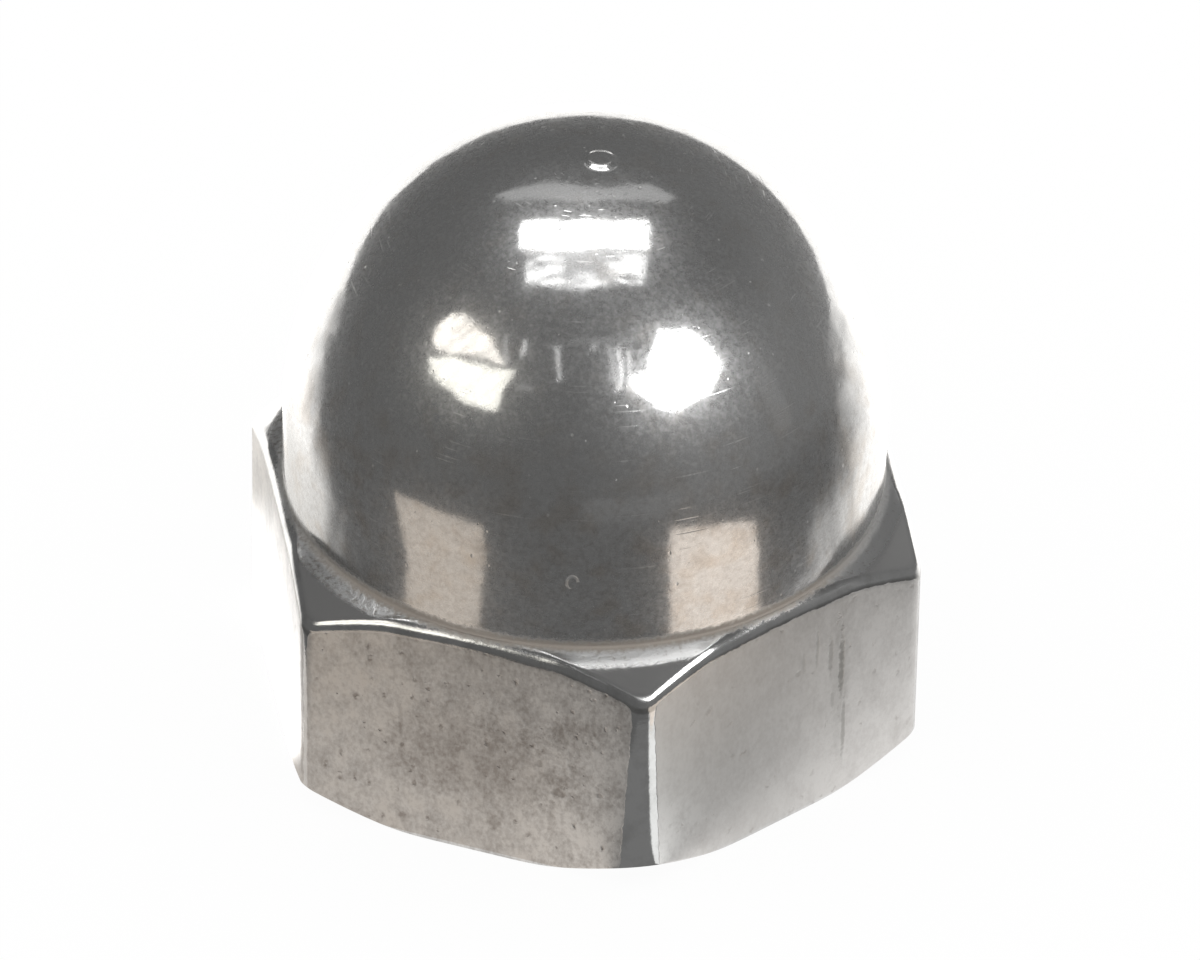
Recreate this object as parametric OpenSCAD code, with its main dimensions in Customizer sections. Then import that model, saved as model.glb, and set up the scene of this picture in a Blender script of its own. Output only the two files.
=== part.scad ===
// Domed cap nut, turned from hexagon bar: a chamfered hexagon, a narrow shoulder ring,
// a round dome and a blind tapped hole, all in one piece of metal.
// It stands on its seat at z = 0, with the dome up and a corner of the hexagon towards -Y.

/* [Hexagon] */
// Width across the flats
flat_width = 11.1; // [9.5:0.1:16]
// Height at which the top chamfer crosses the middle of a flat
hexagon_height = 4.65; // [3.5:0.05:6]
// Radius of the six upright corners
corner_radius = 0.45; // [0.1:0.05:0.9]
// Height of the bottom chamfer at a corner
bottom_chamfer = 0.5; // [0.2:0.05:0.8]
// Slope of both chamfers, from the horizontal
chamfer_angle = 36; // [25:1:40]

/* [Dome] */
// Height of the nut to the top of the dome
total_height = 11.35; // [10.6:0.05:16]
// Step from the plane of a flat in to the dome's wall
dome_inset = 0.18; // [0.1:0.01:0.6]
// Width of the shoulder ring around the dome's foot
ledge_width = 0.37; // [0.2:0.01:0.6]
// Slope of the shoulder ring, from the horizontal
ledge_angle = 22; // [5:1:24]
// Radius of the hollow corner between shoulder and dome
ledge_fillet = 0.12; // [0.05:0.01:0.2]

/* [Lathe mark] */
// Width of the small pip that the lathe left on top of the dome
pip_width = 0.6; // [0.3:0.05:1]
// Height of the pip above the dome
pip_height = 0.07; // [0.03:0.01:0.12]
// Distance of the pip from the nut's axis
pip_offset = 0.23; // [0:0.01:0.5]
// Direction of the pip from the axis, counter-clockwise from +X
pip_direction = -41; // [-180:1:180]

/* [Tapped hole] */
// Outer diameter of the thread
thread_diameter = 6.35; // [5:0.05:7]
// Pitch of the thread
thread_pitch = 1.27; // [0.8:0.01:1.5]
// Depth of the drilled hole at its full width
hole_depth = 7.9; // [6:0.1:8.4]
// Width of the countersink beyond the thread, on the radius
countersink_margin = 0.12; // [0.05:0.01:0.4]
// Full angle of the countersink
countersink_angle = 90; // [60:1:120]
// Full angle of the drill's point
drill_angle = 118; // [90:1:140]

/* [Hidden] */

sides = 6;
half_side = 180 / sides;       // half the angle that one flat covers
round_steps = 96;              // facets of a full turn
cut_over = 0.4;                // how far a cutting shape reaches past what it cuts
steel = [0.66, 0.65, 0.63];

flat_radius = flat_width / 2;
corner_centre = (flat_radius - corner_radius) / cos(half_side);
tip_radius = corner_centre + corner_radius;
blank_radius = tip_radius + cut_over;
seat_radius = tip_radius - bottom_chamfer / tan(chamfer_angle);

dome_radius = flat_radius - dome_inset;
dome_centre = total_height - dome_radius;
ledge_radius = dome_radius + ledge_width;
ledge_low = hexagon_height - (ledge_radius - flat_radius) * tan(chamfer_angle);
ledge_high = ledge_low + ledge_width * tan(ledge_angle);

hole_radius = (thread_diameter - thread_pitch) / 2;
mouth_radius = thread_diameter / 2 + countersink_margin;
mouth_depth = (mouth_radius - hole_radius) / tan(countersink_angle / 2);
point_depth = hole_radius / tan(drill_angle / 2);

// Height that a chamfer climbs or falls between two radii
function chamfer_rise(from_radius, radius) = abs(radius - from_radius) * tan(chamfer_angle);

// A point at a distance and an angle from another
function polar(from, radius, angle) = from + radius * [cos(angle), sin(angle)];

// Outline of the bar: flats that face +X and every 60 degrees, joined by round corners
module bar_outline() {
    corners = [for (i = [0:sides - 1]) half_side * (2 * i + 1)];
    polygon([for (angle = corners, side = [-half_side, half_side])
        polar(polar([0, 0], corner_centre, angle), corner_radius, angle + side)]);
    for (angle = corners)
        translate(polar([0, 0], corner_centre, angle)) circle(corner_radius, $fn = round_steps);
}

// Half section of the turned outside, from the axis outwards, with its hollow corner
// between the shoulder ring and the dome's wall
module turned_profile() {
    fillet_centre = [
        dome_radius + ledge_fillet,
        ledge_high + ledge_fillet * (1 / cos(ledge_angle) - tan(ledge_angle))
    ];
    difference() {
        polygon([
            [0, 0],
            [seat_radius, 0],
            [blank_radius, chamfer_rise(seat_radius, blank_radius)],
            [blank_radius, ledge_low - chamfer_rise(ledge_radius, blank_radius)],
            [ledge_radius, ledge_low],
            polar(fillet_centre, ledge_fillet, 270 - ledge_angle),
            fillet_centre,
            polar(fillet_centre, ledge_fillet, 180),
            [dome_radius, dome_centre],
            [0, dome_centre]
        ]);
        translate(fillet_centre) circle(ledge_fillet, $fn = round_steps);
    }
    intersection() {
        translate([0, dome_centre]) circle(dome_radius, $fn = 2 * round_steps);
        translate([0, dome_centre]) square(dome_radius + cut_over);
    }
}

// Half section of the drilled and countersunk hole
module hole_profile() {
    polygon([
        [0, -cut_over],
        [mouth_radius + cut_over * tan(countersink_angle / 2), -cut_over],
        [hole_radius, mouth_depth],
        [hole_radius, hole_depth],
        [0, hole_depth + point_depth]
    ]);
}

// Ball sunk into the dome so that a cap of the stated width and height stands out of it
module lathe_mark() {
    cap_rise = pip_height + dome_radius - sqrt(pow(dome_radius, 2) - pow(pip_width / 2, 2));
    ball_radius = (pow(pip_width / 2, 2) + pow(cap_rise, 2)) / (2 * cap_rise);
    lean = asin(pip_offset / dome_radius);
    translate([0, 0, dome_centre])
        rotate([0, lean, pip_direction])
            translate([0, 0, dome_radius + pip_height - ball_radius])
                sphere(ball_radius, $fn = round_steps);
}

module cap_nut() {
    color(steel)
    difference() {
        union() {
            intersection() {
                linear_extrude(total_height + cut_over) bar_outline();
                rotate_extrude($fn = 2 * round_steps) turned_profile();
            }
            lathe_mark();
        }
        rotate_extrude($fn = round_steps) hole_profile();
    }
}

cap_nut();
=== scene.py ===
import math

import bpy
from mathutils import Matrix, Vector


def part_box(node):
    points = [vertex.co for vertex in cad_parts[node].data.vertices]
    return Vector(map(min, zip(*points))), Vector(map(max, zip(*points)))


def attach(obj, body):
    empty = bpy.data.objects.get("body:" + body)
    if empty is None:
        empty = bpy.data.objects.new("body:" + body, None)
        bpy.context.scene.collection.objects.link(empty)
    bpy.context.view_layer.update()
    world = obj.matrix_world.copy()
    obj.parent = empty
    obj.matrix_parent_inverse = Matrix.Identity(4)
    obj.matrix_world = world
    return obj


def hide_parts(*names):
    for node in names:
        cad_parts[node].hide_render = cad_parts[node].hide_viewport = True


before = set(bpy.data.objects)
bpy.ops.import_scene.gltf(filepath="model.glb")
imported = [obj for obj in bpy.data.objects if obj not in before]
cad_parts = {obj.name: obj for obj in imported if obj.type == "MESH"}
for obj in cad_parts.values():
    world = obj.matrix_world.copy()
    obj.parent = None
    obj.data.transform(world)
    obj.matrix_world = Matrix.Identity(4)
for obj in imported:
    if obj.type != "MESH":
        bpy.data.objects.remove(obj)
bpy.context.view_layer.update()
millimetre = 0.001
quarterTurn = math.pi / 2
fullTurn = math.pi * 2
plainWhite = (1.0, 1.0, 1.0)
print("frame loaded, nodes:", ", ".join(sorted(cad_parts)))


class Signal:
    # A node's output that can be added, multiplied and compared like a number.
    def __init__(self, graph, socket):
        self.graph = graph
        self.socket = socket

    def isVector(self):
        return self.socket.type in ("VECTOR", "RGBA")

    def join(self, operation, left, right):
        if any(isinstance(side, Signal) and side.isVector() for side in (left, right)):
            return self.graph.vectorMath(operation, left, right)
        return self.graph.maths(operation, left, right)

    def __add__(self, other):
        return self.join("ADD", self, other)

    def __radd__(self, other):
        return self.join("ADD", other, self)

    def __sub__(self, other):
        return self.join("SUBTRACT", self, other)

    def __rsub__(self, other):
        return self.join("SUBTRACT", other, self)

    def __mul__(self, other):
        return self.join("MULTIPLY", self, other)

    def __rmul__(self, other):
        return self.join("MULTIPLY", other, self)

    def __truediv__(self, other):
        return self.join("DIVIDE", self, other)

    def __rtruediv__(self, other):
        return self.join("DIVIDE", other, self)

    def __neg__(self):
        return self.join("MULTIPLY", self, -1.0)


class Graph:
    # Adds nodes to a tree: settings are set first, then the values or links of the sockets.
    def __init__(self, tree):
        self.tree = tree

    def node(self, kind, settings=None, sockets=None, output=0):
        made = self.tree.nodes.new(kind)
        for name, value in (settings or {}).items():
            setattr(made, name, value)
        for name, value in (sockets or {}).items():
            self.feed(made.inputs[name], value)
        return Signal(self, made.outputs[output])

    def feed(self, socket, value):
        if isinstance(value, Signal):
            self.tree.links.new(value.socket, socket)
        elif socket.type == "RGBA" and len(value) == 3:
            socket.default_value = (*value, 1.0)
        elif socket.type == "VECTOR" and isinstance(value, (int, float)):
            socket.default_value = (value, value, value)
        else:
            socket.default_value = value

    def maths(self, operation, *values, clamp=False):
        settings = {"operation": operation, "use_clamp": clamp}
        return self.node("ShaderNodeMath", settings, dict(enumerate(values)))

    def vectorMath(self, operation, *values):
        output = 1 if operation in ("DOT_PRODUCT", "LENGTH", "DISTANCE") else 0
        return self.node("ShaderNodeVectorMath", {"operation": operation}, dict(enumerate(values)), output)

    def sin(self, value):
        return self.maths("SINE", value)

    def cos(self, value):
        return self.maths("COSINE", value)

    def tan(self, value):
        return self.maths("TANGENT", value)

    def angle(self, y, x):
        return self.maths("ARCTAN2", y, x)

    def root(self, value):
        return self.maths("SQRT", value)

    def floor(self, value):
        return self.maths("FLOOR", value)

    def positive(self, value):
        return self.maths("ABSOLUTE", value)

    def clamp(self, value):
        return self.maths("ADD", value, 0.0, clamp=True)

    def lower(self, first, second, blend=0.0):
        return self.maths("SMOOTH_MIN", first, second, blend)

    def higher(self, first, second, blend=0.0):
        return self.maths("SMOOTH_MAX", first, second, blend)

    def rise(self, value, start, end):
        # 0 before start, 1 after end, with a smooth climb between them
        settings = {"interpolation_type": "SMOOTHSTEP"}
        return self.node("ShaderNodeMapRange", settings, {"Value": value, "From Min": start, "From Max": end})

    def blend(self, factor, first, second):
        # from the first colour to the second one
        settings = {"data_type": "RGBA"}
        return self.node("ShaderNodeMix", settings, {0: factor, 6: first, 7: second}, 2)

    def vector(self, x, y, z):
        return self.node("ShaderNodeCombineXYZ", None, {"X": x, "Y": y, "Z": z})

    def grey(self, tone):
        return self.vector(tone, tone, tone)

    def length(self, vector):
        return self.vectorMath("LENGTH", vector)

    def dot(self, vector, direction):
        return self.vectorMath("DOT_PRODUCT", vector, direction)

    def part(self, vector, axis):
        return self.node("ShaderNodeSeparateXYZ", None, {"Vector": vector}, axis)

    def attribute(self, name):
        return self.node("ShaderNodeAttribute", {"attribute_name": name}, None, 1)

    def objectPlace(self):
        return self.node("ShaderNodeTexCoord", None, None, 3)

    def noise(self, vector, scale, detail=2.0, rough=0.5):
        return self.node("ShaderNodeTexNoise", None, {
            "Vector": vector, "Scale": scale, "Detail": detail, "Roughness": rough,
        })

    def glow(self, colour, strength=1.0):
        return self.node("ShaderNodeEmission", None, {"Color": colour, "Strength": strength})


def newMaterial(name):
    material = bpy.data.materials.new(name)
    material.use_nodes = True
    material.node_tree.nodes.clear()
    return material, Graph(material.node_tree)


def surfaceOf(material, shader):
    leave = material.node_tree.nodes.new("ShaderNodeOutputMaterial")
    material.node_tree.links.new(shader.socket, leave.inputs["Surface"])


# The nut, in millimetres and degrees. Its overall sizes come from the frame.
low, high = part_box("cap_nut")
nutSizes = {
    "flatRadius": high.x / millimetre,
    "totalHeight": high.z / millimetre,
    "hexagonHeight": 4.65,
    "cornerRadius": 0.45,
    "frontCornerTop": 0.44,
    "frontCornerBottom": 0.76,
    "seatRadius": 5.65,
    "chamferAngle": 36.0,
    "domeInset": 0.18,
    "ledgeWidth": 0.37,
    "ledgeAngle": 22.0,
    "ledgeFillet": 0.06,
    "edgeBlend": 0.03,
    "seatBlend": 0.16,
    "topEdge": 0.35,
    "bottomEdge": 0.08,
    "pipRise": 0.065,
    "pipRadius": 0.26,
    "pipHeight": 0.047,
    "pipEdge": 0.085,
    "pipOffset": 0.23,
    "pipDirection": -41.0,
    "threadRadius": 3.175,
    "threadPitch": 1.27,
    "holeDepth": 7.9,
    "threadRunout": 0.9,
    "countersinkMargin": 0.12,
    "countersinkAngle": 90.0,
    "drillAngle": 118.0,
}
nutMesh = {
    "cornerColumns": 14,
    "flatColumns": 34,
    "pipRows": 34,
    "pipShare": 0.1,
    "domeRows": 104,
    "wallRows": 8,
    "filletRows": 8,
    "ledgeRows": 12,
    "edgeRows": 9,
    "flatRows": 10,
    "seatRows": 14,
    "threadRowsPerTurn": 15,
    "pointRows": 3,
    "mergeDistance": 1e-7,
}
hexagonSides = 6
halfSide = math.pi / hexagonSides
frontSide = 4  # the side that starts at the corner towards -Y


def nutTree(material):
    # Sheets of vertices, one for each turned face, are bent into place and sewn together.
    tree = bpy.data.node_groups.new("turnedNut", "GeometryNodeTree")
    for name, value in nutSizes.items():
        tree.interface.new_socket(name, in_out="INPUT", socket_type="NodeSocketFloat").default_value = value
    tree.interface.new_socket("Geometry", in_out="OUTPUT", socket_type="NodeSocketGeometry")
    graph = Graph(tree)
    entry = tree.nodes.new("NodeGroupInput")
    size = {name: Signal(graph, entry.outputs[name]) for name in nutSizes}

    def slopeOf(name, share=1.0):
        return graph.tan(size[name] * math.radians(share))

    # sizes that follow from the others
    flatRadius = size["flatRadius"]
    domeRadius = flatRadius - size["domeInset"]
    domeCentre = size["totalHeight"] - size["pipRise"] - domeRadius
    chamferSlope = slopeOf("chamferAngle")
    ledgeLean = size["ledgeAngle"] * math.radians(1)
    ledgeSlope = graph.tan(ledgeLean)
    ledgeRadius = domeRadius + size["ledgeWidth"]
    ledgeLow = size["hexagonHeight"] - (ledgeRadius - flatRadius) * chamferSlope
    ledgeHigh = ledgeLow + size["ledgeWidth"] * ledgeSlope
    holeRadius = size["threadRadius"] - size["threadPitch"] / 2
    mouthRadius = size["threadRadius"] + size["countersinkMargin"]

    # a vertex's place on its sheet: its column round the nut, and how far along the section it is
    place = graph.node("GeometryNodeInputNamedAttribute", {"data_type": "FLOAT_VECTOR"}, {"Name": "place"})
    columnsPerSide = nutMesh["cornerColumns"] + nutMesh["flatColumns"]
    columns = columnsPerSide * hexagonSides
    column = graph.maths("ROUND", graph.part(place, 0) * columns)
    along = graph.part(place, 1)
    side = graph.floor(column / columnsPerSide)
    columnOnSide = column - side * columnsPerSide
    alongCorner = graph.lower(columnOnSide / nutMesh["cornerColumns"], 1.0)
    alongFlat = graph.higher((columnOnSide - nutMesh["cornerColumns"]) / nutMesh["flatColumns"], 0.0)

    def barOutline(frontRadius):
        # the hexagon with its round corners, as a radius and an angle for each column
        ownRadius, nextRadius = (
            size["cornerRadius"]
            + (frontRadius - size["cornerRadius"]) * graph.maths("COMPARE", side, front, 0.5)
            for front in (frontSide, frontSide - 1)
        )
        bend = (alongCorner * 2 - 1) * halfSide
        cornerCentre = (flatRadius - ownRadius) / math.cos(halfSide)
        flatLength = (flatRadius * 2 - ownRadius - nextRadius) * math.tan(halfSide)
        x = cornerCentre + ownRadius * graph.cos(bend) - flatLength * alongFlat * math.sin(halfSide)
        y = ownRadius * graph.sin(bend) + flatLength * alongFlat * math.cos(halfSide)
        fromCorner = flatLength * graph.lower(alongFlat, 1 - alongFlat) - ownRadius * (
            halfSide - graph.positive(bend))
        turn = graph.angle(y, x) + (side * 2 + 1) * halfSide
        return graph.root(x * x + y * y), turn, fromCorner

    topOutline, topTurn, topFromCorner = barOutline(size["frontCornerTop"])
    bottomOutline, bottomTurn, bottomFromCorner = barOutline(size["frontCornerBottom"])
    growth = size["frontCornerBottom"] - size["frontCornerTop"]
    flatOutline, flatTurn, fromCorner = barOutline(size["frontCornerTop"] + growth * along)

    sheets = tree.nodes.new("GeometryNodeJoinGeometry")

    def sheet(rows, radius, height, turn, finish=(0.0, 0.0, 0.0), edges=(-1.0, -1.0, -1.0)):
        # finish holds how much of the sheet is turned shoulder, drawn flat and thread, and
        # edges how far inside the corners, the top edge and the bottom edge of a flat it lies
        grid = graph.node("GeometryNodeMeshGrid", None, {
            "Size X": 1.0, "Size Y": 1.0, "Vertices X": columns + 1, "Vertices Y": rows + 1,
        })
        settings = {"data_type": "FLOAT_VECTOR", "domain": "POINT"}
        corner = graph.node("GeometryNodeInputPosition") + (0.5, 0.5, 0.0)
        placed = graph.node("GeometryNodeStoreNamedAttribute", settings, {
            "Geometry": grid, "Name": "place", "Value": corner,
        })
        marked = graph.node("GeometryNodeStoreNamedAttribute", settings, {
            "Geometry": placed, "Name": "finish", "Value": finish,
        })
        edged = graph.node("GeometryNodeStoreNamedAttribute", settings, {
            "Geometry": marked, "Name": "edges", "Value": edges,
        })
        position = graph.vector(radius * graph.cos(turn), radius * graph.sin(turn), height)
        bent = graph.node("GeometryNodeSetPosition", None, {
            "Geometry": edged, "Position": position * millimetre,
        })
        tree.links.new(bent.socket, sheets.inputs[0])

    def topHeight(radius):
        # the shoulder ring or the chamfer, whichever is lower
        ledge = ledgeLow + (ledgeRadius - radius) * ledgeSlope
        chamfer = ledgeLow + (ledgeRadius - radius) * chamferSlope
        return graph.lower(ledge, chamfer, size["edgeBlend"])

    def bottomHeight(radius):
        return graph.higher((radius - size["seatRadius"]) * chamferSlope, 0.0, size["seatBlend"])

    def slopeAt(height, radius):
        reach = 0.01
        return (height(radius + reach) - height(radius - reach)) / (2 * reach)

    # dome, with the small pip that the lathe left near its top
    pipRows = nutMesh["pipRows"]
    domeRow = along * (pipRows + nutMesh["domeRows"])
    nearTop = graph.lower(domeRow / pipRows, 1.0) * nutMesh["pipShare"]
    farFromTop = graph.higher((domeRow - pipRows) / nutMesh["domeRows"], 0.0) * (1 - nutMesh["pipShare"])
    lean = (nearTop + farFromTop) * quarterTurn
    ring = domeRadius * graph.sin(lean)
    pipTurn = size["pipDirection"] * math.radians(1)
    acrossPip = ring * graph.cos(topTurn) - size["pipOffset"] * graph.cos(pipTurn)
    alongPip = ring * graph.sin(topTurn) - size["pipOffset"] * graph.sin(pipTurn)
    fromPip = graph.root(acrossPip * acrossPip + alongPip * alongPip)
    pipStart = size["pipRadius"] - size["pipEdge"]
    pip = size["pipHeight"] * (1 - graph.rise(fromPip, pipStart, size["pipRadius"] + size["pipEdge"]))
    domeHeight = domeCentre + domeRadius * graph.cos(lean) + pip
    sheet(pipRows + nutMesh["domeRows"], ring, domeHeight, topTurn)

    # wall of the dome, and the small hollow where it meets the shoulder
    fillet = size["ledgeFillet"]
    filletHeight = ledgeHigh + fillet * (1 / graph.cos(ledgeLean) - ledgeSlope)
    sheet(nutMesh["wallRows"], domeRadius, domeCentre + (filletHeight - domeCentre) * along, topTurn)
    filletTurn = math.pi + along * (quarterTurn - ledgeLean)
    filletRadius = domeRadius + fillet + fillet * graph.cos(filletTurn)
    sheet(nutMesh["filletRows"], filletRadius, filletHeight + fillet * graph.sin(filletTurn), topTurn,
          (1.0, 0.0, 0.0))

    # shoulder ring and chamfer, out to the softened edge
    ledgeStart = domeRadius + fillet - fillet * graph.sin(ledgeLean)
    topSlope = -slopeAt(topHeight, topOutline)
    topLean = graph.maths("ARCTANGENT", topSlope)
    topEdge = size["topEdge"]
    topEdgeHeight = topHeight(topOutline) + topEdge * (topSlope - 1 / graph.cos(topLean))
    topEdgeStart = topOutline - topEdge + topEdge * graph.sin(topLean)
    topMiss = topEdgeHeight + topEdge * graph.cos(topLean) - topHeight(topEdgeStart)
    topRadius = ledgeStart + (topEdgeStart - ledgeStart) * along
    onLedge = 1 - graph.rise(topRadius, ledgeRadius - 0.02, ledgeRadius + 0.02)
    sheet(nutMesh["ledgeRows"], topRadius, topHeight(topRadius) + topMiss * along * along, topTurn,
          graph.vector(onLedge, 0.0, 0.0))
    topRound = (quarterTurn - topLean) * (1 - along)
    sheet(nutMesh["edgeRows"], topOutline - topEdge + topEdge * graph.cos(topRound),
          topEdgeHeight + topEdge * graph.sin(topRound), topTurn,
          (0.0, 1.0, 0.0), graph.vector(topFromCorner, -(topRound * topEdge), 4.0))

    # flats, with the softened edge below them
    bottomEdge = size["bottomEdge"]
    bottomLean = graph.maths("ARCTANGENT", slopeAt(bottomHeight, bottomOutline))
    bottomDrop = 1 / graph.cos(bottomLean) - graph.tan(bottomLean)
    bottomEdgeHeight = bottomHeight(bottomOutline) + bottomEdge * bottomDrop
    flatHeight = topEdgeHeight - bottomEdgeHeight
    sheet(nutMesh["flatRows"], flatOutline, topEdgeHeight - flatHeight * along, flatTurn,
          (0.0, 1.0, 0.0), graph.vector(fromCorner, flatHeight * along, flatHeight * (1 - along)))
    bottomRound = (quarterTurn - bottomLean) * along
    sheet(nutMesh["edgeRows"], bottomOutline - bottomEdge + bottomEdge * graph.cos(bottomRound),
          graph.higher(bottomEdgeHeight - bottomEdge * graph.sin(bottomRound), 0.0), bottomTurn,
          (0.0, 1.0, 0.0), graph.vector(bottomFromCorner, 4.0, -(bottomRound * bottomEdge)))

    # bottom chamfer and seat, in to the mouth of the hole
    seatStart = bottomOutline - bottomEdge + bottomEdge * graph.sin(bottomLean)
    seatStartHeight = graph.higher(bottomEdgeHeight - bottomEdge * graph.cos(bottomLean), 0.0)
    outward = (1 - along) * (1 - along)
    seatRing = mouthRadius + (seatStart - mouthRadius) * outward
    seatMiss = (seatStartHeight - bottomHeight(seatStart)) * outward
    flatSeat = 1 - graph.rise(along, 0.6, 0.9)
    seatHeight = graph.higher(bottomHeight(seatRing) + seatMiss, 0.0) * flatSeat
    sheet(nutMesh["seatRows"], seatRing, seatHeight, bottomTurn, (0.4, 0.0, 0.0))

    # threaded hole: a helical groove cut outwards from the drilled wall, and the drill's point above it
    threadRows = round(nutSizes["holeDepth"] / nutSizes["threadPitch"] * nutMesh["threadRowsPerTurn"])
    threadHeight = size["holeDepth"] * along
    phase = graph.maths("FRACT", threadHeight / size["threadPitch"] - bottomTurn / fullTurn + hexagonSides)
    fromRoot = graph.positive(phase - 0.5) * size["threadPitch"] - size["threadPitch"] / 16
    groove = size["threadRadius"] - graph.higher(fromRoot, 0.0, 0.03) * math.tan(2 * halfSide)
    runout = graph.rise(threadHeight, size["holeDepth"] - size["threadRunout"], size["holeDepth"] - 0.2)
    threaded = graph.higher(groove - runout * size["threadPitch"], holeRadius, 0.03)
    sunk = mouthRadius - threadHeight * slopeOf("countersinkAngle", 0.5)
    atMouth = 1 - graph.rise(threadHeight, 0.0, 0.06)
    boreRadius = graph.higher(threaded, sunk, 0.02)
    atEnd = graph.rise(threadHeight, size["holeDepth"] - 0.1, size["holeDepth"])
    boreRadius = boreRadius + (mouthRadius - boreRadius) * atMouth
    boreRadius = boreRadius + (holeRadius - boreRadius) * atEnd
    sheet(threadRows, boreRadius, threadHeight, bottomTurn, (0.0, 0.0, 1.0))
    pointHeight = size["holeDepth"] + holeRadius * along / slopeOf("drillAngle", 0.5)
    sheet(nutMesh["pointRows"], holeRadius * (1 - along), pointHeight, bottomTurn, (0.0, 0.0, 1.0))

    joined = Signal(graph, sheets.outputs[0])
    sewn = graph.node("GeometryNodeMergeByDistance", None, {
        "Geometry": joined, "Distance": nutMesh["mergeDistance"],
    })
    outside = graph.node("GeometryNodeFlipFaces", None, {"Mesh": sewn})
    smooth = graph.node("GeometryNodeSetShadeSmooth", None, {"Geometry": outside})
    real = graph.node("GeometryNodeRealizeInstances", None, {"Geometry": smooth})
    dressed = graph.node("GeometryNodeSetMaterial", None, {"Geometry": real, "Material": material})
    leave = tree.nodes.new("NodeGroupOutput")
    tree.links.new(dressed.socket, leave.inputs[0])
    return tree


def plainPiece(name, tree, sizes):
    # runs a tree and keeps its result as an ordinary mesh at the origin
    holder = bpy.data.objects.new(name + "Holder", bpy.data.meshes.new(name + "Holder"))
    bpy.context.scene.collection.objects.link(holder)
    modifier = holder.modifiers.new("shape", "NODES")
    modifier.node_group = tree
    for item in tree.interface.items_tree:
        if item.in_out == "INPUT":
            modifier[item.identifier] = sizes[item.name]
    depsgraph = bpy.context.evaluated_depsgraph_get()
    mesh = bpy.data.meshes.new_from_object(holder.evaluated_get(depsgraph), depsgraph=depsgraph)
    mesh.name = name
    holder.modifiers.remove(modifier)
    bpy.data.objects.remove(holder)
    piece = bpy.data.objects.new(name, mesh)
    bpy.context.scene.collection.objects.link(piece)
    return piece


steelLook = {
    "colour": (0.66, 0.66, 0.655),
    "stain": (0.6, 0.565, 0.525),
    # pale steel: wear on the scratches and a paler chamfer, and painted light on the two flats beside the
    # front corner
    "wearAndPaintedLight": (0.88, 0.87, 0.855),
    "dirtAndShade": (0.33, 0.305, 0.285),
    # dark brown: dirt, pits, speckle and tarnish, and painted shade over the left flat
    "scratchAndShade": (0.33, 0.325, 0.31),
    # dark steel: scratches and the hollow's dirt, and painted shade on the right flat and along the tops of
    # the flats
    "grime": (0.36, 0.325, 0.29),
    "domeRoughness": 0.09,
    "lowRoughness": 0.03,
    "lowFade": (6.0, 8.5),
    "smudgeRoughness": 0.03,
    "ledgeRoughness": 0.3,
    "ledgeHeight": 0.007,
    "ledgeGrain": 11.0,
    "hollowRadius": 5.37,
    "hollowHeight": 4.66,
    "topEdgeRoughness": 0.16,
    "chamferRoughness": 0.15,
    "sideEdgeRoughness": 0.11,
    "flatRoughness": 0.45,
    "hazeRoughness": 0.34,
    "hazeShare": 0.3,
    "threadRoughness": 0.3,
    # heights of the relief in millimetres, and its grain in waves for each millimetre
    "lumpHeight": 0.006,
    "lumpGrain": 1.6,
    "turnHeight": 0.0002,
    "turnGrain": 9.0,
    "fineHeight": 0.0008,
    "fineGrain": 11.0,
    "tarnishGrain": 9.0,
    "tarnishFade": (8.6, 6.8),
    "dentDepth": 0.002,
    "dentSize": 0.035,
    "dentGrain": 5.0,
    "dentRarity": 0.3,
    "speckGrain": 4.0,
    "speckSize": 0.05,
    "speckRarity": 0.45,
    "hairsRound": 5.0,
    "hairsUp": 22.0,
    "hairWidth": 0.5,
    "hairRarity": 0.72,
    "hairShare": 0.3,
    "scarDepth": 0.003,
    "smudgeGrain": 1.7,
    "smudgeFade": (6.5, 9.5),
    "smudgeShare": 0.8,
    "flatHeight": 0.004,
    "flatGrain": 12.0,
    "pitDepth": 0.012,
    "pitSize": 0.09,
    "pitGrain": 4.2,
    "pitRarity": 0.35,
    "markDepth": 0.01,
    "mottleGrain": 2.2,
    "cloudGrain": 0.6,
    # where the drawn flats end: how far inside each edge, and how softly
    "cornerMargin": 0.03,
    "topMargin": 0.06,
    "bottomMargin": 0.1,
    "marginBlend": 0.25,
    "edgeWander": 0.05,
    "frontCorner": (0.0, -6.2, 0.0),
    "frontCornerReach": (1.5, 2.0),
    "otherCornerMargin": 0.16,
    # heights at which the dome's polish and the hollow's dirt set in
    "domeFoot": (4.7, 4.9),
    "hollowFoot": (4.3, 4.5),
    # the two flats beside the front corner, by millimetres across from their middle: how much cleaner the
    # right flat is, and where painted light and painted shade lie on them
    "rightCleaner": 0.6,
    "litLeft": (0.0, 3.0),
    "litLeftShare": 0.6,
    "litRight": (-0.5, 3.0),
    "litRightShare": 0.5,
    "litCorner": (-3.0, -0.6),
    "litCornerHeight": (0.3, 2.4),
    "paintedShadeRight": (-3.0, 2.0),
    "paintedShadeShare": 0.18,
    # one small ring mark on the dome, and the side that the dirt in the hollow gathers on
    "nick": (-1.11, -5.25, 6.03),
    "nickRadius": 0.1,
    "nickWidth": 0.035,
    "nickDepth": 0.006,
    "grimeFacing": -100.25,
    "grimeReach": (1.2, 4.2),
}
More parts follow.
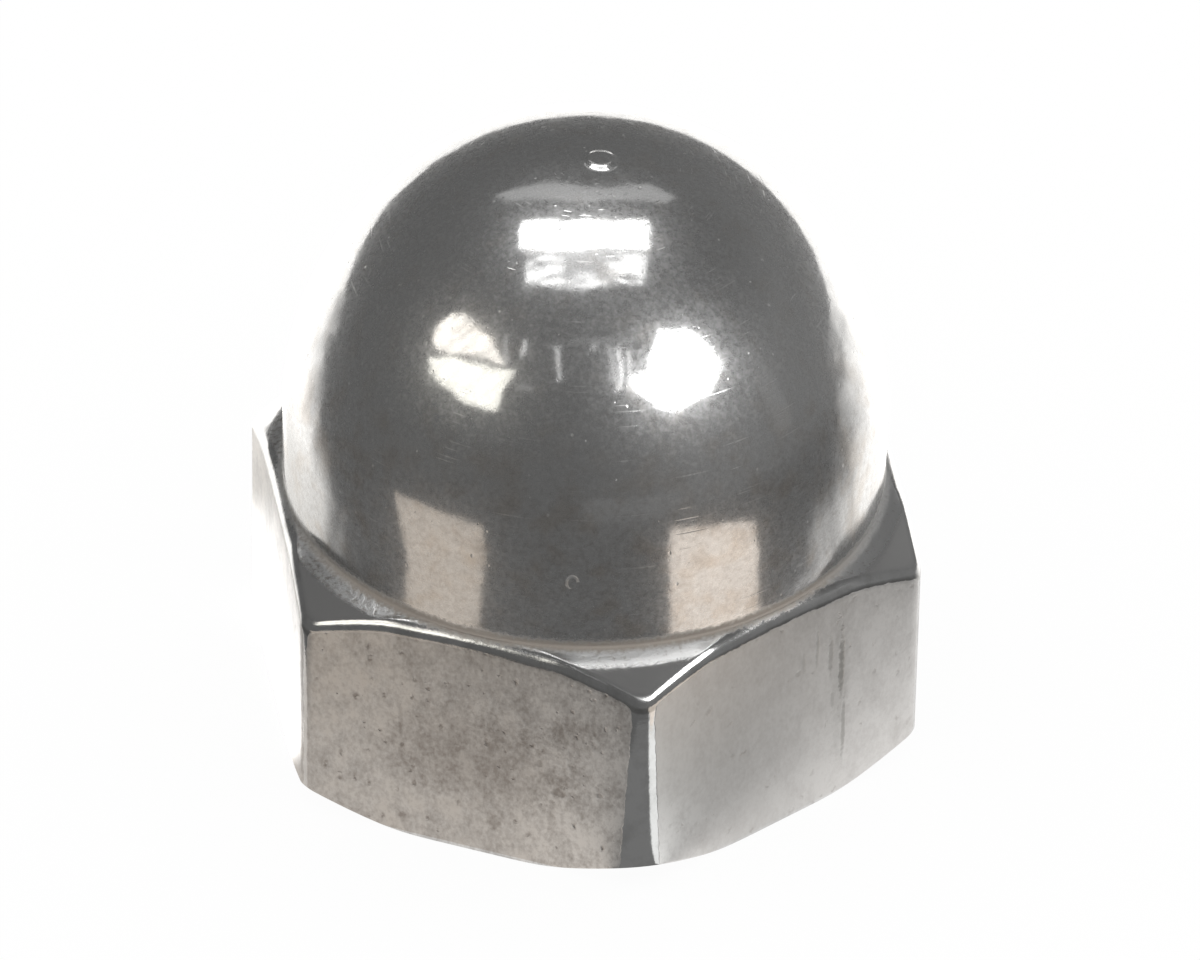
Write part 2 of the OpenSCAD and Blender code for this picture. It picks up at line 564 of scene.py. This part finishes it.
# Marks on the two flats beside the front corner: how far right of the middle, how high,
# half width, half height and darkness, in millimetres.
leftMarks = [
    (-1.34, 2.55, 0.05, 0.3, 0.5),
    (-1.52, 2.05, 0.2, 0.12, 0.3),
    (-0.62, 2.25, 0.3, 0.15, 0.25),
    (-0.25, 2.2, 0.07, 0.12, 0.6),
    (-1.3, 0.42, 0.07, 0.1, 0.6),
    (1.26, 2.3, 0.1, 0.09, 0.6),
    (1.13, 2.02, 0.08, 0.06, 0.35),
    (1.62, 1.75, 0.13, 0.1, 0.7),
    (1.5, 1.25, 0.08, 0.4, 0.45),
    (0.42, 0.8, 0.12, 0.2, 0.45),
    (1.75, 3.3, 0.2, 0.2, 0.25),
    (2.4, 1.9, 0.07, 0.05, 0.5),
    # the last two are broad painted shade over the middle of the left flat and high on it near the front
    # corner
    (0.1, 2.1, 1.7, 1.0, 0.38),
    (1.85, 3.05, 0.45, 0.4, 0.3),
]
rightMarks = [
    (1.34, 2.9, 0.07, 0.8, 0.9),
    (1.42, 1.5, 0.05, 0.7, 0.6),
    (1.3, 2.5, 0.2, 1.5, 0.25),
    (1.08, 3.2, 0.06, 0.4, 0.5),
    (1.15, 2.2, 0.05, 0.25, 0.4),
    (0.76, 3.5, 0.04, 0.4, 0.4),
    (0.45, 3.3, 0.05, 0.2, 0.35),
    (0.35, 3.15, 0.08, 0.06, 0.4),
    (-1.15, 2.05, 0.05, 0.04, 0.35),
]


def flatMarks(graph, place, facing, marks):
    # dark spots on the flat that faces this way, in degrees from +X
    turn = math.radians(facing)
    inward = graph.dot(place, (math.cos(turn), math.sin(turn), 0.0))
    across = graph.dot(place, (-math.sin(turn), math.cos(turn), 0.0))
    height = graph.part(place, 2)
    onFlat = graph.rise(inward, nutSizes["flatRadius"] - 0.15, nutSizes["flatRadius"] - 0.05)
    ragged = graph.noise(place, 10.0, 5.0)
    dark = 0.0
    for middle, level, halfWidth, halfHeight, darkness in marks:
        x = (across - middle) / halfWidth
        y = (height - level) / halfHeight
        away = x * x + y * y + (ragged - 0.5) * 3.0
        dark = graph.higher((1 - graph.rise(away, -0.1, 1.8)) * darkness, dark)
    return onFlat, dark * onFlat, across


def steelMaterial():
    material, graph = newMaterial("turnedSteel")
    look = steelLook
    noise = graph.noise

    def spots(vector, scale, size, rarity):
        # round dimples of many sizes, 1 in the middle and 0 outside
        cells = graph.node("ShaderNodeTexVoronoi", None, {"Vector": vector, "Scale": scale})
        chance = graph.part(Signal(graph, cells.socket.node.outputs["Color"]), 0)
        reach = graph.higher(chance - rarity, 0.0) * (size * scale / (1 - rarity)) + 0.0001
        return 1 - graph.rise(cells / reach, 0.0, 1.0)

    place = graph.objectPlace() / millimetre
    x, y, z = (graph.part(place, axis) for axis in range(3))
    radius = graph.root(x * x + y * y) + 0.02
    finish = graph.attribute("finish")
    edges = graph.attribute("edges")

    # which finish a point has
    ledge = graph.part(finish, 0)
    thread = graph.part(finish, 2)
    fromCorner, fromTop, fromBottom = (graph.part(edges, axis) for axis in range(3))
    fromFront = graph.length(place * (1.0, 1.0, 0.0) - look["frontCorner"])
    fromCorner = fromCorner + graph.rise(fromFront, *look["frontCornerReach"]) * look["otherCornerMargin"]
    inside = graph.lower(fromCorner + look["cornerMargin"], fromTop + look["topMargin"], look["marginBlend"])
    inside = graph.lower(inside, fromBottom + look["bottomMargin"], 0.05)
    wander = (noise(place, 4.0, 3.0) - 0.5) * (look["edgeWander"] * 2)
    flat = graph.part(finish, 1) * graph.rise(inside + wander, -0.015, 0.02)
    edge = graph.part(finish, 1) - flat
    topEdge = 1 - graph.rise(fromTop, -0.06, 0.02)
    dome = graph.clamp(1 - ledge - thread - graph.part(finish, 1)) * graph.rise(z, *look["domeFoot"])
    chamfer = graph.clamp(1 - ledge - thread - flat - dome)

    # relief of the dome: lumps, turning lines, fine haze and small dents
    domeRadius = nutSizes["flatRadius"] - nutSizes["domeInset"]
    domeCentre = nutSizes["totalHeight"] - nutSizes["pipRise"] - domeRadius
    lean = graph.angle(radius, z - domeCentre) * domeRadius
    turned = graph.vector(x / radius * 1.5, y / radius * 1.5, lean * look["turnGrain"])
    lumps = noise(place, look["lumpGrain"], 1.0) * look["lumpHeight"]
    turning = noise(turned, 1.0, 3.0, 0.6) * look["turnHeight"]
    ripple = noise(place, look["fineGrain"], 3.0, 0.6)
    fine = ripple * look["fineHeight"]
    dents = spots(place * (1.0, 1.0, 0.7), look["dentGrain"], look["dentSize"], look["dentRarity"])
    hairsRound = look["hairsRound"] / radius
    combed = graph.vector(x * hairsRound, y * hairsRound, lean * look["hairsUp"])
    hairs = spots(combed, 1.0, look["hairWidth"], look["hairRarity"])
    specks = spots(place * (1.0, 1.0, 0.8), look["speckGrain"], look["speckSize"], look["speckRarity"])
    scars = (specks + hairs * look["hairShare"]) * (0.4 + graph.rise(noise(place, 0.5, 2.0), 0.4, 0.6))
    fromNick = graph.length((place - look["nick"]) * (1.0, 1.0, 0.7))
    nick = 1 - graph.rise(graph.positive(fromNick - look["nickRadius"]), 0.0, look["nickWidth"])
    nick = nick * graph.rise(noise(place, 5.0), 0.42, 0.5)
    scars = graph.clamp(scars + nick)
    domeHeight = lumps + turning + fine - dents * look["dentDepth"] - scars * look["scarDepth"]
    domeHeight = domeHeight - nick * look["nickDepth"]

    # relief and stains of the flats: grain along the bar, pits and single marks
    drawn = place * (1.0, 1.0, 0.75)
    grain = noise(drawn, look["flatGrain"], 4.0, 0.65)
    mottle = noise(drawn, look["mottleGrain"], 5.0, 0.65)
    clouds = noise(drawn, look["cloudGrain"])
    warped = place * (1.0, 1.0, 0.8) + noise(place, 7.0, 2.0) * 0.25
    pits = spots(warped, look["pitGrain"], look["pitSize"], look["pitRarity"])
    onLeft, leftDark, acrossLeft = flatMarks(graph, place, -120, leftMarks)
    onRight, rightDark, acrossRight = flatMarks(graph, place, -60, rightMarks)
    rough = 1 - onRight * look["rightCleaner"]
    marks = graph.clamp(leftDark + rightDark)
    flatHeight = grain * look["flatHeight"] * rough - pits * rough * look["pitDepth"]
    flatHeight = flatHeight - marks * look["markDepth"]
    ledgeGrain = noise(place, look["ledgeGrain"], 3.0, 0.65)
    inHollow = graph.vector(radius - look["hollowRadius"], 0.0, z - look["hollowHeight"])
    fromHollow = graph.length(inHollow) + (ripple - 0.5) * 0.2
    hollow = graph.clamp(1 - graph.rise(fromHollow, 0.04, 0.19)) * graph.rise(z, *look["hollowFoot"])
    facing = math.radians(look["grimeFacing"])
    forward = graph.dot(place, (math.cos(facing), math.sin(facing), 0.0))
    grime = hollow * graph.rise(forward, *look["grimeReach"])

    height = dome * domeHeight + flat * flatHeight + (ledge * look["ledgeHeight"] + edge * 0.001) * ledgeGrain
    height += chamfer * (lumps + fine * 1.5 + turning)
    bump = graph.node("ShaderNodeBump", None, {"Height": height, "Distance": millimetre, "Strength": 1.0})

    # colour: the same steel all over, stained on the flats and dirty in the hollow corner
    stain = graph.clamp((mottle - 0.42) * 1.6 * rough + (clouds - 0.45) * 0.8 + 0.25) * flat * rough
    # painted light: paler steel on the left flat towards the front corner, on the right flat away from it,
    # and low on the right flat beside it
    wearAndPaintedLight = onLeft * graph.rise(acrossLeft, *look["litLeft"]) * look["litLeftShare"]
    wearAndPaintedLight = wearAndPaintedLight + onRight * graph.rise(acrossRight, *look["litRight"]) * look["litRightShare"]
    litCorner = 1 - graph.rise(acrossRight, *look["litCorner"])
    litCorner = litCorner * (1 - graph.rise(z, *look["litCornerHeight"]))
    wearAndPaintedLight = wearAndPaintedLight + onRight * litCorner
    # painted shade: darker steel on the right flat towards the front corner, except where the painted light
    # lies
    paintedShade = onRight * (1 - graph.rise(acrossRight, *look["paintedShadeRight"])) * (1 - litCorner) * look["paintedShadeShare"]
    smudge = dome * graph.rise(noise(place, look["smudgeGrain"]), 0.46, 0.7)
    smudge = smudge * (1 - graph.rise(z, *look["smudgeFade"]))
    stain = graph.clamp(stain + smudge * look["smudgeShare"] + dome * graph.rise(mottle, 0.5, 0.7) * 0.3)
    colour = graph.blend(stain, look["colour"], look["stain"])
    colour = graph.blend(wearAndPaintedLight * flat, colour, look["wearAndPaintedLight"])
    colour = graph.blend(paintedShade * flat, colour, look["scratchAndShade"])
    speckle = graph.clamp((0.6 - grain) * 1.7 + (0.56 - mottle) * 1.8 + (0.5 - clouds) * 0.6) * rough
    dark = graph.clamp(pits * rough * 0.8 + leftDark + speckle) * flat
    # darker spots from the grain on the shoulder ring, and darker towards its left side
    ledgeDarkening = graph.clamp((0.42 - ledgeGrain) * 4.0 + graph.rise(x, -1.0, -4.0) * 0.5)
    dark = graph.clamp(dark + ledge * ledgeDarkening)
    colour = graph.blend(dark, colour, look["dirtAndShade"])
    colour = graph.blend(rightDark, colour, look["scratchAndShade"])
    # painted shade: a darker line along the top of each flat, standing for the dark strip that the softened
    # edge reflects there, and mottled darkening along every softened edge
    edgeShadeAndMottle = edge * graph.rise(fromTop, -0.14, -0.05) * (1 - graph.rise(fromTop, 0.0, 0.05))
    edgeShadeAndMottle = graph.clamp(edgeShadeAndMottle * 0.65 + edge * (0.55 - mottle) * 1.5)
    colour = graph.blend(edgeShadeAndMottle, colour, look["scratchAndShade"])
    colour = graph.blend((chamfer - edge) * 0.5, colour, look["wearAndPaintedLight"])
    colour = graph.blend(scars * dome * 0.7, colour, look["wearAndPaintedLight"])
    colour = graph.blend(hollow * 0.4, colour, look["scratchAndShade"])
    colour = graph.blend(grime, colour, look["grime"])
    # a film on the dome, thinner towards its top
    tarnish = graph.clamp((0.62 - noise(place, look["tarnishGrain"], 5.0, 0.72)) * 1.7)
    tarnish = tarnish * (0.45 + graph.rise(z, *look["tarnishFade"]) * 0.55)
    tarnish = graph.clamp(tarnish + (noise(place, 1.3, 4.0, 0.6) - 0.5) * 0.3 - 0.1) * (1 - grime)
    colour = graph.blend(tarnish * dome, colour, look["dirtAndShade"])

    # finish: polished steel, mixed with a duller one where it is hazy or scratched
    haze = noise(place, 3.0, 4.0, 0.6)
    lowDome = (1 - graph.rise(z, *look["lowFade"])) * look["lowRoughness"]
    hazed = (haze - 0.5) * 0.06
    roughness = dome * (look["domeRoughness"] + lowDome + smudge * look["smudgeRoughness"] + hazed)
    roughness += ledge * look["ledgeRoughness"] + thread * look["threadRoughness"]
    roughness += flat * (look["flatRoughness"] + (grain - 0.5) * 0.2)
    roughness += edge * (look["sideEdgeRoughness"] * (1 - topEdge) + look["topEdgeRoughness"] * topEdge)
    roughness += (chamfer - edge) * look["chamferRoughness"] + hollow * 0.4
    polished, hazy = (
        graph.node("ShaderNodeBsdfPrincipled", None, {
            "Base Color": colour, "Metallic": 1 - grime * 0.35, "Roughness": level, "Normal": bump,
        })
        for level in (roughness, look["hazeRoughness"])
    )
    share = look["hazeShare"] * (0.5 + haze) * (0.55 + graph.clamp((ripple - 0.3) * 2.5) * 0.9)
    share = dome * (share + scars * 0.9)
    surfaceOf(material, graph.node("ShaderNodeMixShader", None, {0: share, 1: polished, 2: hazy}))
    return material


nut = plainPiece("capNut", nutTree(steelMaterial()), nutSizes)
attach(nut, "root")
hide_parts("cap_nut")
print("nut:", len(nut.data.vertices), "vertices,", len(nut.data.polygons), "faces")


# The camera, in metres and degrees.
cameraSizes = {
    "lens": 329.8,
    "distance": 0.19562,
    "azimuth": -10.25,
    "elevation": 35.97,
    "roll": 1.055,
    "aimHeight": 0.004995,
    "aimRight": 0.00028676,
    "aimUp": -0.00051153,
}


def axesTowards(azimuth, elevation):
    # right, up and back of something that looks at the nut from this direction
    across = math.radians(azimuth)
    climb = math.radians(elevation)
    right = Vector((math.cos(across), math.sin(across), 0.0))
    back = Vector((math.sin(across) * math.cos(climb), -math.cos(across) * math.cos(climb), math.sin(climb)))
    return right, back.cross(right), back


def turnedTowards(axes):
    return Matrix(axes).transposed().to_4x4()


def makeCamera():
    axes = axesTowards(cameraSizes["azimuth"], cameraSizes["elevation"])
    right, up, back = axes
    place = Vector((0.0, 0.0, cameraSizes["aimHeight"]))
    place += right * cameraSizes["aimRight"] + up * cameraSizes["aimUp"] + back * cameraSizes["distance"]
    data = bpy.data.cameras.new("camera")
    data.lens = cameraSizes["lens"]
    data.clip_start = 0.01
    data.clip_end = 20.0
    camera = bpy.data.objects.new("camera", data)
    bpy.context.scene.collection.objects.link(camera)
    roll = Matrix.Rotation(math.radians(cameraSizes["roll"]), 4, "Z")
    camera.matrix_world = Matrix.Translation(place) @ turnedTowards(axes) @ roll
    bpy.context.scene.camera = camera


makeCamera()
print("camera placed")


# The studio: a white floor, a dim room, and the lamps. Directions are degrees to the right of
# the camera's side of the nut, and upwards, and distances are in metres.
studioSizes = {
    "floorReach": 3.0,
    "roomReach": 0.8,
    "lampReach": 0.6,
    "lampHeight": 0.006,
    "roomTone": 0.145,
    "roomRight": 0.215,
    "shadowReach": 0.03,
    "shadowStrength": 0.05,
}
lamps = {
    "overheadBack": {"level": 4.0, "corners": [
        (-138, 60), (-152, 67), (-177, 70), (157, 68), (142, 61),
        (118, 68), (129, 78), (-172, 83), (-123, 77), (-115, 66),
    ]},
    "overheadFront": {"level": 2.6, "streaky": 0.9, "corners": [
        (-107, 69), (-119, 81), (-64, 81), (58, 82.5), (126, 82), (110, 70), (77, 71), (-5, 80), (-76, 69),
    ]},
    "ceiling": {"level": 0.65, "reach": 0.72, "corners": [
        (-122, 67), (-172, 73), (150, 71), (125, 69), (112, 69), (77, 70), (-4, 79), (-75, 68),
    ]},
    "backWall": {"level": 0.56, "corners": [
        (-146, 42), (-155, 45), (-165, 48), (-176, 53), (172, 54), (164, 49),
        (159, 45), (148, 43), (148, 49), (-178, 62), (-145, 48),
    ]},
    "leftUpper": {"level": 2.4, "streaky": 0.45, "colour": (1.0, 0.95, 0.88), "corners": [
        (-79, 31), (-84, 36), (-84, 42), (-76, 46), (-59, 48), (-42, 43), (-56, 40), (-65, 37), (-72, 33),
    ]},
    "leftLower": {"level": 2.2, "streaky": 0.2, "colour": (1.0, 0.98, 0.9), "corners": [
        (-77, 27), (-70, 33), (-61, 36), (-49, 39), (-36, 43),
        (-38, 36), (-38, 27), (-50, 25), (-65, 24), (-72, 24),
    ]},
    "rightLamp": {"level": 7.0, "corners": [
        (51, 55), (66, 49), (68, 39), (68, 33), (65, 31), (57, 28),
        (40, 28), (32, 31), (24, 41), (24, 44), (34, 44), (40, 50),
    ]},
    "rightWall": {"level": 0.27, "corners": [(76, 30), (85, 30), (84, -12), (77, -12)]},
    "rightGlint": {"level": 2.0, "corners": [(116, -1), (120, -1), (118, -9), (115, -9)]},
}
# Narrow gaps of light between the lamps: the direction of both ends, width and brightness.
gaps = [
    (-52, 52, -42, 43, 0.8, 1.0),
    (-41, 54, -37, 49, 0.9, 2.0),
    (-32, 38, -25, 39, 0.8, 0.7),
    (-20, 57, -14, 44, 0.8, 2.0),
    (6, 59, 5, 56, 0.8, 1.5),
    (14, 58, 16, 44, 1.4, 1.0),
    (22, 56, 17, 41, 1.0, 3.4),
    (28, 54, 21, 40, 0.9, 2.2),
    (-14, 59, 35, 56, 0.4, 0.7),
]


def stageMesh(name, corners, material, faces=None):
    mesh = bpy.data.meshes.new(name)
    mesh.from_pydata(corners, [], faces or [tuple(range(len(corners)))])
    mesh.materials.append(material)
    item = bpy.data.objects.new(name, mesh)
    bpy.context.scene.collection.objects.link(item)
    return item


def squareCorners(reach):
    return [(-reach, -reach, 0), (reach, -reach, 0), (reach, reach, 0), (-reach, reach, 0)]


def onlyInReflections(item):
    item.visible_camera = False
    item.visible_diffuse = False
    item.visible_shadow = False


def directViews(graph):
    # camera, mirror and see-through rays, which see the white background itself
    rays = graph.tree.nodes.new("ShaderNodeLightPath")
    camera = Signal(graph, rays.outputs["Is Camera Ray"])
    glossy = Signal(graph, rays.outputs["Is Glossy Ray"])
    through = Signal(graph, rays.outputs["Is Transmission Ray"])
    return graph.clamp(camera + glossy + through)


def makeFloor():
    material, graph = newMaterial("whiteFloor")
    place = graph.objectPlace()
    away = graph.length(place)
    shaded = (1 - graph.rise(away, 0.01, studioSizes["shadowReach"])) * studioSizes["shadowStrength"]
    glow = graph.glow(plainWhite)
    paper = graph.node("ShaderNodeBsdfDiffuse", None, {"Color": (0.9, 0.9, 0.9)})
    mixed = graph.node("ShaderNodeMixShader", None, {0: directViews(graph) * (1 - shaded), 1: paper, 2: glow})
    surfaceOf(material, mixed)
    stageMesh("floor", squareCorners(studioSizes["floorReach"]), material)


floorPaintSizes = {
    # in millimetres, seen from the camera: to the right of the nut's axis, and ahead of it
    "lift": 0.1,
    "leftStart": (10.0, 1.9),
    "rightStart": (10.0, 2.3),
    "leftSlope": 0.72,
    "rightSlope": 0.6,
    "leftFade": 0.42,
    "rightFade": 0.66,
    "streaksRound": 9.0,
    "streaksAway": 0.4,
    "streakDepth": 0.9,
    "shadowTone": 0.15,
    "whiteTone": 1.6,
    "sideTone": 1.9,
    "backTone": 1.5,
    "whiteTint": (1.0, 0.985, 0.965),
    "paperTone": (0.98, 0.96, 0.925),
    "paperReach": 18.0,
    # close to the nut, where only its flats look: painted shade before the front corner and painted light
    # beside and behind it
    "nearReach": 8.4,
    "nearLeftMore": 1.4,
    "nearRightMore": 2.6,
    "nearLeft": (0.79, 0.745, 0.7),
    "nearRight": (0.16, 0.16, 0.16),
    "nearFarRight": (0.95, 0.935, 0.92),
    "nearGlint": (1.2, 1.21, 1.2),
    "nearSide": (5.5, 5.5, 5.5),
    "nearBack": (0.95, 0.93, 0.91),
    "nearFront": 0.23,
    "frontCornerLeft": (0.6, 6.1),
    "frontCornerRight": (1.54, 5.97),
    "frontLeft": -41.0,
    "frontRight": 38.0,
    "glintRight": 82.0,
    "sideStart": 2.6,
}
# painted pools of light on the floor, seen only in reflections: colour, and outline in millimetres to the
# right of the nut's axis and ahead of it
litPatches = {
    "leftLitPatch": {"colour": (0.77, 0.69, 0.61), "corners": [
        (-5.2, 8.9), (-8.1, 13.9), (-15.2, 23.5), (-21.0, 19.5),
        (-23.6, 10.8), (-15.5, 8.8), (-9.6, 6.7), (-8.2, 6.0),
    ]},
    "rightLitPatch": {"colour": (1.19, 1.07, 0.96), "corners": [
        (4.4, 8.9), (6.8, 13.6), (14.7, 26.4), (17.2, 21.6),
        (18.0, 15.8), (17.5, 11.6), (12.4, 8.2), (8.3, 5.9),
    ]},
}


def makeFloorShadeAndLight():
    # painted shadow over the floor before the nut and painted light on the paper beside and behind it,
    # glowing for reflections alone
    material, graph = newMaterial("paintedFloorShadeAndLight")
    place = graph.objectPlace()
    right = graph.part(place, 0) / millimetre
    ahead = graph.part(place, 1) / -millimetre
    away = graph.root(right * right + ahead * ahead)
    onRight = graph.rise(right, -1.0, 1.0)

    def sided(name):
        return floorPaintSizes["left" + name] + (floorPaintSizes["right" + name] - floorPaintSizes["left" + name]) * onRight

    startRight, startAhead = (
        leftEnd + (rightEnd - leftEnd) * onRight
        for leftEnd, rightEnd in zip(floorPaintSizes["leftStart"], floorPaintSizes["rightStart"])
    )
    beyond = graph.higher(graph.positive(right) - startRight, 0.0, 4.0)
    edge = startAhead - beyond * sided("Slope")
    fromBehind = graph.angle(right, -ahead)
    around = fromBehind * floorPaintSizes["streaksRound"]
    outward = graph.root(away) * floorPaintSizes["streaksAway"]
    streaks = (graph.noise(graph.vector(around, outward, 0.0), 1.0, 3.0) - 0.5) * floorPaintSizes["streakDepth"]
    # painted shadow: the dark floor ahead of the nut, with a streaky edge
    shadowed = graph.rise((ahead - edge) / (away * sided("Fade")) + streaks, -0.75, 0.33)
    beside = graph.rise(graph.positive(fromBehind), 0.2, 0.9)
    white = floorPaintSizes["whiteTone"] + (floorPaintSizes["sideTone"] - floorPaintSizes["whiteTone"]) * beside
    further = graph.rise(away, floorPaintSizes["nearReach"], floorPaintSizes["paperReach"])
    back = (1 - graph.rise(graph.positive(fromBehind), 0.7, 1.0)) * (1 - further)
    white = white + back * floorPaintSizes["backTone"]
    further = graph.higher(further, back)
    further = further * (1 - onRight * 0.5) + onRight * 0.5
    white = graph.grey(white) * floorPaintSizes["whiteTint"]
    paper = graph.blend(further, floorPaintSizes["paperTone"], white)
    dark = floorPaintSizes["shadowTone"] + onRight * graph.rise(away, 20.0, 80.0) * 0.06
    paper = graph.blend(shadowed, paper, graph.grey(dark))
    facing = graph.positive(graph.angle(right, ahead)) * math.degrees(1)
    more = floorPaintSizes["nearLeftMore"] + onRight * (floorPaintSizes["nearRightMore"] - floorPaintSizes["nearLeftMore"])
    nearReach = floorPaintSizes["nearReach"] + more * (1 - graph.rise(facing, 70, 135))
    near = 1 - graph.rise(away, nearReach - 0.2, nearReach + 0.2)
    fromLeft, fromRight = (
        graph.angle(right - cornerRight, ahead - cornerAhead) * math.degrees(1)
        for cornerRight, cornerAhead in (floorPaintSizes["frontCornerLeft"], floorPaintSizes["frontCornerRight"])
    )
    front = graph.rise(fromLeft, floorPaintSizes["frontLeft"] - 2, floorPaintSizes["frontLeft"] + 2)
    frontRight = floorPaintSizes["frontRight"]
    front = front * (1 - graph.rise(fromRight, frontRight - 3, frontRight + 3))
    glint = 1 - graph.rise(fromRight, floorPaintSizes["glintRight"] - 3, floorPaintSizes["glintRight"] + 3)
    rightTone = graph.blend(graph.rise(fromRight, 85, 125), floorPaintSizes["nearRight"], floorPaintSizes["nearFarRight"])
    rightTone = graph.blend(glint, rightTone, floorPaintSizes["nearGlint"])
    beside = graph.blend(graph.rise(fromRight, 5, 10), floorPaintSizes["nearLeft"], rightTone)
    sideStart = floorPaintSizes["sideStart"]
    behind = (1 - graph.rise(ahead, sideStart - 0.5, sideStart + 0.5)) * (1 - onRight)
    turn = math.radians(cameraSizes["azimuth"])
    fromSide = -(right * math.cos(turn) + ahead * math.sin(turn))
    strip = graph.rise(fromSide, 5.0, 5.5) * (1 - graph.rise(fromSide, 6.7, 7.0))
    backTone = graph.blend(strip, floorPaintSizes["nearBack"], floorPaintSizes["nearSide"])
    beside = graph.blend(behind, beside, backTone)
    close = graph.blend(front, beside, (floorPaintSizes["nearFront"],) * 3)
    colour = graph.blend(near, paper, close)
    surfaceOf(material, graph.glow(colour))
    corners = squareCorners(studioSizes["floorReach"] / 2)
    turned = Matrix.Rotation(math.radians(cameraSizes["azimuth"]), 4, "Z")
    paintedFloor = stageMesh("paintedFloorShadeAndLight", corners, material)
    paintedFloor.matrix_world = Matrix.Translation((0.0, 0.0, floorPaintSizes["lift"] * millimetre)) @ turned
    onlyInReflections(paintedFloor)


def makeLitPatches():
    # two painted pools of light on the floor ahead of the nut on either side, for reflections alone
    turned = Matrix.Rotation(math.radians(cameraSizes["azimuth"]), 4, "Z")
    for name, patch in litPatches.items():
        material, graph = newMaterial(name)
        place = graph.objectPlace() / millimetre
        colour = graph.vector(*patch["colour"]) * (0.75 + graph.noise(place, 0.5, 4.0) * 0.5)
        surfaceOf(material, graph.glow(colour))
        corners = [(right * millimetre, -ahead * millimetre, 0) for right, ahead in patch["corners"]]
        item = stageMesh(name, corners, material)
        item.matrix_world = Matrix.Translation((0.0, 0.0, 2 * floorPaintSizes["lift"] * millimetre)) @ turned
        onlyInReflections(item)


def makeWorld():
    world = bpy.data.worlds.new("studio")
    world.use_nodes = True
    world.node_tree.nodes.clear()
    graph = Graph(world.node_tree)
    light = graph.node("ShaderNodeBackground", None, {"Color": plainWhite, "Strength": 1.1})
    white = graph.node("ShaderNodeBackground", None, {"Color": plainWhite, "Strength": 1.0})
    mixed = graph.node("ShaderNodeMixShader", None, {0: directViews(graph), 1: light, 2: white})
    leave = world.node_tree.nodes.new("ShaderNodeOutputWorld")
    world.node_tree.links.new(mixed.socket, leave.inputs["Surface"])
    bpy.context.scene.world = world


def makeRoom():
    # a dark tent above the floor, which only reflections see
    material, graph = newMaterial("dimRoom")
    place = graph.objectPlace()
    right = axesTowards(cameraSizes["azimuth"], 0.0)[0]
    side = graph.dot(place, tuple(right)) / studioSizes["roomReach"]
    climb = graph.part(place, 2) / studioSizes["roomReach"]
    lift = (studioSizes["roomRight"] - studioSizes["roomTone"]) * graph.rise(side, -0.1, 0.9)
    lift = lift * (1 - graph.rise(climb, 0.35, 0.75))
    tone = lift + studioSizes["roomTone"]
    surfaceOf(material, graph.glow(plainWhite, tone))
    reach = studioSizes["roomReach"]
    rings = 8
    steps = 32
    corners = []
    for ring in range(rings + 1):
        climb = quarterTurn * ring / rings
        for step in range(steps):
            across = fullTurn * step / steps
            corners.append((
                reach * math.cos(climb) * math.cos(across),
                reach * math.cos(climb) * math.sin(across),
                reach * math.sin(climb),
            ))
    faces = []
    for ring in range(rings):
        for step in range(steps):
            after = (step + 1) % steps
            first = ring * steps
            faces.append((first + step, first + after, first + steps + after, first + steps + step))
    onlyInReflections(stageMesh("room", corners, material, faces))


def towards(azimuth, elevation, reach=studioSizes["lampReach"]):
    # a place on the lamps' sphere, in this direction
    back = axesTowards(cameraSizes["azimuth"] + azimuth, elevation)[2]
    return Vector((0.0, 0.0, studioSizes["lampHeight"])) + back * reach


def makeLamp(name, corners, level, colour=plainWhite, streaky=0.0):
    # a streaky lamp is dim in bands that run across the room
    material, graph = newMaterial(name)
    place = graph.objectPlace()
    right = axesTowards(cameraSizes["azimuth"], 0.0)[0]
    across = graph.dot(place, tuple(right))
    ahead = graph.dot(place, (right.y, -right.x, 0.0))
    bands = graph.noise(graph.vector(across * 9.0, ahead * 40.0, 0.0), 1.0, 3.0)
    dim = (1 - graph.rise(bands, 0.4, 0.54)) * streaky
    surfaceOf(material, graph.glow(colour, level * (1 - dim)))
    onlyInReflections(stageMesh(name, corners, material))


makeFloor()
makeFloorShadeAndLight()
makeLitPatches()
makeWorld()
makeRoom()
for name, lamp in lamps.items():
    reach = lamp.get("reach", studioSizes["lampReach"])
    corners = [towards(azimuth, elevation, reach) for azimuth, elevation in lamp["corners"]]
    makeLamp(name, corners, lamp["level"], lamp.get("colour", plainWhite), lamp.get("streaky", 0.0))
for number, (startAzimuth, startElevation, endAzimuth, endElevation, width, level) in enumerate(gaps):
    start = towards(startAzimuth, startElevation)
    end = towards(endAzimuth, endElevation)
    middle = Vector((0.0, 0.0, studioSizes["lampHeight"]))
    sideways = (end - start).cross(start - middle).normalized()
    sideways *= math.radians(width / 2) * studioSizes["lampReach"]
    makeLamp(f"gap{number}", [start - sideways, start + sideways, end + sideways, end - sideways], level)
print("studio lit, lamps:", ", ".join(lamps), "and", len(gaps), "gaps")

bpy.context.scene.view_settings.view_transform = "Standard"
